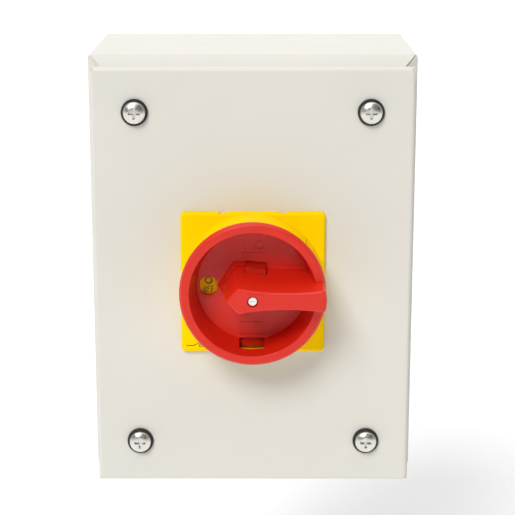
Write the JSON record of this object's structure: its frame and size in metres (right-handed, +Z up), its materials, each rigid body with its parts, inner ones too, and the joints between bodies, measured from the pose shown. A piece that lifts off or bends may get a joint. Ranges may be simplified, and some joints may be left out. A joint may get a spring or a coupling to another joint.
{
  "type": "rotary isolator switch",
  "caption": "Lockable rotary isolator switch in a wall-mounted folded-steel box, with a red grip handle on a square yellow plate.",
  "frame": {"origin": "centre of the back face, on the wall plane, midway between the four wall holes", "axes": "+Z up, +X to the right seen from the front, +Y into the wall; the handle faces -Y"},
  "size_m": [0.15, 0.1375, 0.2107],
  "materials": {
    "painted_steel": "fine textured powder coat",
    "zinc_plated_steel": "bright zinc plate",
    "nickel_plated_steel": "nickel plate",
    "brass": "machined",
    "copper": "stamped copper",
    "black_rubber": "matte",
    "yellow_plastic": "satin moulding",
    "red_plastic": "satin moulding",
    "grey_plastic": "satin moulding",
    "black_plastic": "satin moulding",
    "cream_plastic": "satin moulding"
  },
  "bodies": {
    "enclosure": {"enclosure_body": "painted_steel", "lid_screw_tabs": "painted_steel", "lid_weld_nuts": "zinc_plated_steel", "mounting_studs": "zinc_plated_steel", "mounting_plate": "zinc_plated_steel", "mounting_plate_nuts": "zinc_plated_steel", "earth_stud": "zinc_plated_steel", "earth_stud_nuts": "brass", "entry_plug_left": "grey_plastic", "entry_plug_right": "grey_plastic", "entry_seals": "black_rubber", "entry_locknuts": "grey_plastic", "earth_bar": "brass", "earth_bar_screws": "nickel_plated_steel", "neutral_insulator": "grey_plastic", "neutral_bar": "brass", "neutral_bar_screws": "nickel_plated_steel", "switch_base": "grey_plastic", "contact_chamber_1": "grey_plastic", "contact_chamber_2": "grey_plastic", "latching_housing": "black_plastic", "latching_cover": "black_plastic", "through_bolts": "zinc_plated_steel", "switch_mounting_screws": "zinc_plated_steel", "detent_rollers": "zinc_plated_steel", "detent_springs": "zinc_plated_steel", "fixed_contacts": "copper", "terminal_clamps": "zinc_plated_steel", "terminal_screws": "zinc_plated_steel"},
    "lid": {"lid": "painted_steel", "lid_gasket": "black_rubber", "lid_screws": "nickel_plated_steel", "lid_screw_seals": "black_rubber", "lid_screw_retainers": "black_plastic", "handle_bezel": "yellow_plastic", "bezel_gasket": "black_rubber", "bezel_nut": "grey_plastic"},
    "handle": {"handle": "red_plastic", "handle_screw": "nickel_plated_steel", "drive_sleeve": "black_plastic", "handle_seal": "black_rubber", "retaining_ring": "zinc_plated_steel", "lock_slide_spring": "zinc_plated_steel"},
    "lock_slide": {"lock_slide": "red_plastic"},
    "rotor": {"rotor_spindle": "zinc_plated_steel", "cam_1": "cream_plastic", "cam_2": "cream_plastic", "detent_star": "cream_plastic", "shaft_coupling": "zinc_plated_steel", "coupling_grub_screw": "zinc_plated_steel", "extension_shaft": "zinc_plated_steel"},
    "contacts_left": {"plungers_left": "cream_plastic", "contact_bridges_left": "copper", "contact_springs_left": "zinc_plated_steel"},
    "contacts_right": {"plungers_right": "cream_plastic", "contact_bridges_right": "copper", "contact_springs_right": "zinc_plated_steel"}
  },
  "joints": [
    {"name": "lid_removal", "type": "slide", "parent": "enclosure", "child": "lid", "axis": [0, -1, 0], "range_m": [0, 0.12]},
    {"name": "handle_turn", "type": "hinge", "parent": "lid", "child": "handle", "pos_m": [0, -0.1025, -0.0005], "axis": [0, 1, 0], "range_deg": [0, 90]},
    {"name": "lock_slide_press", "type": "slide", "parent": "handle", "child": "lock_slide", "axis": [0, 0, -1], "range_m": [0, 0.002], "stiffness_N_per_m": 120, "springref_m": -0.0015, "deforming": ["lock_slide_spring"]},
    {"name": "rotor_turn", "type": "hinge", "parent": "enclosure", "child": "rotor", "pos_m": [0, -0.05, -0.0005], "axis": [0, 1, 0], "range_deg": [0, 90]},
    {"name": "contacts_left_move", "type": "slide", "parent": "enclosure", "child": "contacts_left", "axis": [1, 0, 0], "range_m": [0, 0.003]},
    {"name": "contacts_right_move", "type": "slide", "parent": "enclosure", "child": "contacts_right", "axis": [-1, 0, 0], "range_m": [0, 0.003]}
  ],
  "couplings": [
    {"joint": "rotor_turn", "follows": "handle_turn", "ratio": 1},
    {"joint": "contacts_left_move", "follows": "handle_turn", "m_per_rad": 0.0019},
    {"joint": "contacts_right_move", "follows": "handle_turn", "m_per_rad": 0.0019}
  ]
}
